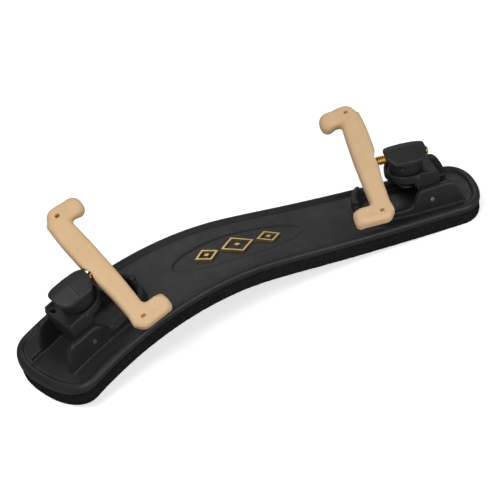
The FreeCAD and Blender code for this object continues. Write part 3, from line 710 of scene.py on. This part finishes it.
class Shader:
    """A material's node tree with short calls for the nodes used here."""

    def __init__(self, name):
        self.material = bpy.data.materials.new(name)
        self.material.use_nodes = True
        self.tree = self.material.node_tree
        self.surface = self.tree.nodes["Principled BSDF"]
        self.where = self.tree.nodes.new("ShaderNodeTexCoord").outputs["Object"]

    def node(self, kind, **inputs):
        made = self.tree.nodes.new(kind)
        for key, value in inputs.items():
            self.feed(made.inputs[key.replace("_", " ")], value)
        return made

    def feed(self, socket, value):
        if isinstance(value, bpy.types.NodeSocket):
            self.tree.links.new(value, socket)
        else:
            socket.default_value = value

    def noise(self, per_mm, detail=3.0, rough=0.5):
        made = self.node("ShaderNodeTexNoise", Vector=self.where, Scale=per_mm * PER_METRE,
                         Detail=detail, Roughness=rough)
        return made.outputs["Fac"]

    def cells(self, per_mm):
        made = self.node("ShaderNodeTexVoronoi", Vector=self.where, Scale=per_mm * PER_METRE)
        return made.outputs["Distance"]

    def pointed(self):
        return self.tree.nodes.new("ShaderNodeNewGeometry").outputs["Pointiness"]

    def ramp(self, value, low, high, out_low=0.0, out_high=1.0):
        made = self.tree.nodes.new("ShaderNodeMapRange")
        self.feed(made.inputs["Value"], value)
        limits = {"From Min": low, "From Max": high, "To Min": out_low, "To Max": out_high}
        for key, number in limits.items():
            made.inputs[key].default_value = number
        return made.outputs["Result"]

    def mix(self, factor, first, second):
        made = self.tree.nodes.new("ShaderNodeMix")
        made.data_type = "RGBA"
        self.feed(made.inputs["Factor"], factor)
        self.feed(made.inputs[MIX_FIRST], first)
        self.feed(made.inputs[MIX_SECOND], second)
        return made.outputs[MIX_RESULT]

    def math(self, operation, first, second):
        made = self.tree.nodes.new("ShaderNodeMath")
        made.operation = operation
        self.feed(made.inputs[0], first)
        self.feed(made.inputs[1], second)
        return made.outputs[0]

    def bump(self, height, depth_mm, strength=1.0, normal=None):
        made = self.node("ShaderNodeBump", Height=height, Strength=strength, Distance=depth_mm * MM)
        if normal is not None:
            self.feed(made.inputs["Normal"], normal)
        return made.outputs["Normal"]

    def finish(self, **inputs):
        for key, value in inputs.items():
            self.feed(self.surface.inputs[key.replace("_", " ")], value)
        return self.material


def rgb(red, green, blue):
    return (red, green, blue, 1.0)


def charcoal_plastic(name, dark, light, rough):
    """Satin moulded plastic: a fine spark texture, soft flow marks, paler edges that are partly rubbing
    wear and partly a painted highlight.
    """
    s = Shader(name)
    flow = s.noise(0.05, 2.0)
    fine = s.noise(2.6, 4.0, 0.6)
    colour = s.mix(s.ramp(flow, 0.35, 0.7), dark, light)
    # paler edges from pointiness: partly rubbing wear, partly a painted highlight along the rims
    rubbed_and_highlight = s.ramp(s.pointed(), 0.53, 0.62)
    rubbed_and_highlight = s.math("MULTIPLY", rubbed_and_highlight, s.ramp(s.noise(0.5, 3.0), 0.3, 0.7, 0.35, 1.0))
    colour = s.mix(s.math("MULTIPLY", rubbed_and_highlight, 0.45), colour, rgb(0.17, 0.172, 0.178))
    roughness = s.ramp(s.math("ADD", s.noise(0.22, 4.0), s.math("MULTIPLY", fine, 0.5)), 0.4, 1.1,
                       rough - 0.07, rough + 0.1)
    normal = s.bump(fine, 0.025, 0.55)
    normal = s.bump(s.noise(0.12, 1.0), 0.15, 0.25, normal)
    return s.finish(Base_Color=colour, Roughness=roughness, Normal=normal, Specular_IOR_Level=0.32)


def foam_rubber():
    """Closed-cell foam: near black brown with pale flecks and open pores."""
    s = Shader("foam_rubber")
    pores = s.cells(1.15)
    fine = s.cells(2.7)
    flecks = s.ramp(s.noise(1.7, 5.0, 0.7), 0.5, 0.72)
    mottled = s.ramp(s.noise(0.09, 2.0), 0.3, 0.7)
    colour = s.mix(mottled, rgb(0.0085, 0.0076, 0.0068), rgb(0.013, 0.0118, 0.0105))
    colour = s.mix(s.math("MULTIPLY", flecks, 0.85), colour, rgb(0.052, 0.047, 0.041))
    colour = s.mix(s.ramp(pores, 0.0, 0.3, 0.75, 0.0), colour, rgb(0.004, 0.004, 0.004))
    height = s.math("ADD", s.ramp(pores, 0.0, 0.5), s.math("MULTIPLY", s.ramp(fine, 0.0, 0.5), 0.5))
    return s.finish(Base_Color=colour, Roughness=0.95, Normal=s.bump(height, 0.14, 0.8),
                    Specular_IOR_Level=0.08)


def beige_rubber(name):
    """Matte silicone rubber, faintly mottled, darker and warmer in its hollows as painted shade, and
    paler at the foot.
    """
    s = Shader(name)
    height = s.tree.nodes.new("ShaderNodeSeparateXYZ")
    s.feed(height.inputs[0], s.where)
    upper = s.ramp(height.outputs["Z"], 0.012, 0.045)
    colour = s.mix(upper, rgb(0.77, 0.53, 0.315), rgb(0.745, 0.505, 0.27))
    colour = s.mix(s.ramp(s.noise(0.16, 3.0), 0.35, 0.7, 0.0, 0.35), colour, rgb(0.80, 0.585, 0.36))
    # painted shade: a darker, warmer colour where the surface is hollow
    colour = s.mix(s.ramp(s.pointed(), 0.47, 0.38, 0.0, 0.55), colour, rgb(0.60, 0.33, 0.14))
    fine = s.noise(3.2, 3.0, 0.6)
    colour = s.mix(s.ramp(fine, 0.55, 0.8, 0.0, 0.12), colour, rgb(0.62, 0.42, 0.26))
    normal = s.bump(fine, 0.02, 0.5)
    normal = s.bump(s.noise(0.3, 2.0), 0.12, 0.25, normal)
    return s.finish(Base_Color=colour, Roughness=s.ramp(s.noise(0.35, 3.0), 0.3, 0.7, 0.5, 0.66),
                    Normal=normal, Subsurface_Weight=0.18, Subsurface_Radius=(1.0, 0.5, 0.25),
                    Subsurface_Scale=1.2 * MM, Specular_IOR_Level=0.35)


def metal(name, colour, shade, rough):
    """Turned metal: crests paler from wear, roots darker as painted shade, fine scratches."""
    s = Shader(name)
    # paler crests are wear; darker roots, in the shade colour, are painted shade
    crest_wear_and_root_shade = s.ramp(s.pointed(), 0.44, 0.55)
    mottled = s.ramp(s.noise(0.8, 4.0), 0.3, 0.75)
    tint = s.mix(crest_wear_and_root_shade, shade, colour)
    tint = s.mix(s.math("MULTIPLY", mottled, 0.25), tint, shade)
    scratches = s.noise(5.0, 5.0, 0.7)
    return s.finish(Base_Color=tint, Metallic=1.0,
                    Roughness=s.ramp(scratches, 0.3, 0.7, rough - 0.06, rough + 0.12),
                    Normal=s.bump(scratches, 0.01, 0.4))


def dress_metal():
    """Gives the frame's own metal pieces their finish, and the badge its softened edges."""
    brass = metal("brass", rgb(0.93, 0.63, 0.2), rgb(0.42, 0.22, 0.05), 0.24)
    gold = metal("gold_plating", rgb(0.74, 0.55, 0.25), rgb(0.42, 0.27, 0.09), 0.34)
    steel = metal("steel", rgb(0.72, 0.72, 0.70), rgb(0.3, 0.3, 0.3), 0.3)
    choice = {"height_screw": brass, "threaded_insert": brass, "fork_core": brass, "badge_inlay": gold,
              "hinge_pin": steel, "swivel_rivet": steel, "swivel_washer": steel}
    for node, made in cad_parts.items():
        for start, material in choice.items():
            if node.startswith(start):
                made.data.materials.clear()
                made.data.materials.append(material)
    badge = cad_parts["badge_inlay"].modifiers.new("soft_edges", "BEVEL")
    badge.width = 0.16 * MM
    badge.segments = 2
    badge.limit_method = "ANGLE"


# ---- studio ------------------------------------------------------------------------------
ROOM_LIGHT = 0.2
PAPER_GLOW = 0.62
KEY_POWER, BACK_POWER, FRONT_POWER = 5.4, 1.3, 4.6
SWEEP_LEFT, SWEEP_FRONT, SWEEP_WIDE, SWEEP_DEEP = -3.5, -3.0, 7.0, 6.0    # metres
SWEEP_COLUMNS, SWEEP_ROWS = 24, 48
RISE_FROM, RISE_CURVE = 1.4, 0.5
CAMERA_AZIMUTH, CAMERA_ELEVATION, CAMERA_ROLL = (math.radians(a) for a in (-24.58, 35.86, -11.39))
CAMERA_DISTANCE, CAMERA_VIEW = 766.99, math.radians(15.08662)
CAMERA_SHIFT = (-0.01194, -0.0194)
AIM = Vector((0, 0, 20))


def pale_paper():
    """White paper that glows a little for the camera and reflects only dully in the object."""
    s = Shader("pale_paper")
    tint = s.mix(s.noise(0.004, 3.0), rgb(0.90, 0.90, 0.895), rgb(0.93, 0.93, 0.93))
    camera_ray = s.tree.nodes.new("ShaderNodeLightPath").outputs["Is Camera Ray"]
    tint = s.mix(camera_ray, rgb(0.34, 0.34, 0.34), tint)
    glow = s.ramp(camera_ray, 0.0, 1.0, 0.0, PAPER_GLOW)
    return s.finish(Base_Color=tint, Roughness=0.85, Normal=s.bump(s.noise(0.5, 4.0), 0.02, 0.3),
                    Emission_Color=rgb(1.0, 1.0, 1.0), Emission_Strength=glow)


def make_floor():
    """A pale sweep: flat under the rest and rising gently far behind it."""
    points = []
    for row in range(SWEEP_ROWS + 1):
        y = SWEEP_FRONT + SWEEP_DEEP * row / SWEEP_ROWS
        rise = max(0.0, y - RISE_FROM) ** 2 * RISE_CURVE
        points += [(SWEEP_LEFT + SWEEP_WIDE * column / SWEEP_COLUMNS, y, rise)
                   for column in range(SWEEP_COLUMNS + 1)]
    faces = []
    for row in range(SWEEP_ROWS):
        for column in range(SWEEP_COLUMNS):
            near = row * (SWEEP_COLUMNS + 1) + column
            far = near + SWEEP_COLUMNS + 1
            faces.append((near, near + 1, far + 1, far))
    mesh = bpy.data.meshes.new("sweep")
    mesh.from_pydata(points, [], faces)
    mesh.shade_smooth()
    mesh.materials.append(pale_paper())
    floor = bpy.data.objects.new("sweep", mesh)
    bpy.context.scene.collection.objects.link(floor)


def area_light(name, place, target, size, power):
    data = bpy.data.lights.new(name, "AREA")
    data.shape = "RECTANGLE"
    data.size, data.size_y = size
    data.energy = power
    made = bpy.data.objects.new(name, data)
    made.location = place
    made.rotation_mode = "QUATERNION"
    made.rotation_quaternion = (Vector(target) - Vector(place)).to_track_quat("-Z", "Y")
    bpy.context.scene.collection.objects.link(made)


def make_lights():
    """Soft lamps; the room looks white to the camera but lights the object only faintly."""
    world = bpy.data.worlds.new("studio")
    bpy.context.scene.world = world
    world.use_nodes = True
    tree = world.node_tree
    seen = tree.nodes["Background"]
    seen.inputs["Color"].default_value = rgb(1.0, 1.0, 1.0)
    seen.inputs["Strength"].default_value = 1.0
    felt = tree.nodes.new("ShaderNodeBackground")
    felt.inputs["Color"].default_value = rgb(0.96, 0.98, 1.0)
    felt.inputs["Strength"].default_value = ROOM_LIGHT
    choose = tree.nodes.new("ShaderNodeMixShader")
    rays = tree.nodes.new("ShaderNodeLightPath")
    tree.links.new(rays.outputs["Is Camera Ray"], choose.inputs[0])
    tree.links.new(felt.outputs[0], choose.inputs[1])
    tree.links.new(seen.outputs[0], choose.inputs[2])
    tree.links.new(choose.outputs[0], tree.nodes["World Output"].inputs["Surface"])
    area_light("key", (-0.55, -0.25, 0.85), (0, 0, 0), (0.7, 0.5), KEY_POWER)
    area_light("back", (0.25, 0.8, 0.6), (0, 0, 0.01), (0.9, 0.4), BACK_POWER)
    area_light("front", (0.3, -0.9, 0.35), (0, 0, 0.01), (0.8, 0.5), FRONT_POWER)
    bpy.context.scene.view_settings.view_transform = "Standard"


def make_camera():
    """Stands off to the front left, above, and leans a little."""
    back = Vector((math.sin(CAMERA_AZIMUTH) * math.cos(CAMERA_ELEVATION),
                   -math.cos(CAMERA_AZIMUTH) * math.cos(CAMERA_ELEVATION),
                   math.sin(CAMERA_ELEVATION)))
    right = Vector((math.cos(CAMERA_AZIMUTH), math.sin(CAMERA_AZIMUTH), 0))
    up = back.cross(right)
    rolled = right * math.cos(CAMERA_ROLL) + up * math.sin(CAMERA_ROLL)
    upright = up * math.cos(CAMERA_ROLL) - right * math.sin(CAMERA_ROLL)
    data = bpy.data.cameras.new("camera")
    data.angle = CAMERA_VIEW
    data.shift_x, data.shift_y = CAMERA_SHIFT
    camera = bpy.data.objects.new("camera", data)
    place = Matrix((rolled, upright, back)).transposed().to_4x4()
    place.translation = (AIM + SHIFT + back * CAMERA_DISTANCE) * MM
    camera.matrix_world = place
    bpy.context.scene.collection.objects.link(camera)
    bpy.context.scene.camera = camera


def main():
    dark, light = rgb(0.0165, 0.0170, 0.0180), rgb(0.0225, 0.0230, 0.0243)
    plastic = charcoal_plastic("charcoal_plastic", dark, light, 0.43)
    dark, light = rgb(0.0185, 0.0190, 0.0197), rgb(0.0255, 0.0260, 0.0270)
    knob_plastic = charcoal_plastic("knob_plastic", dark, light, 0.47)
    rubber = beige_rubber("beige_rubber")
    make_plate(plastic)
    make_foam(foam_rubber())
    for side in ("left", "right"):
        make_mechanism(side, plastic, knob_plastic, rubber)
    dress_metal()
    make_floor()
    make_lights()
    make_camera()


main()
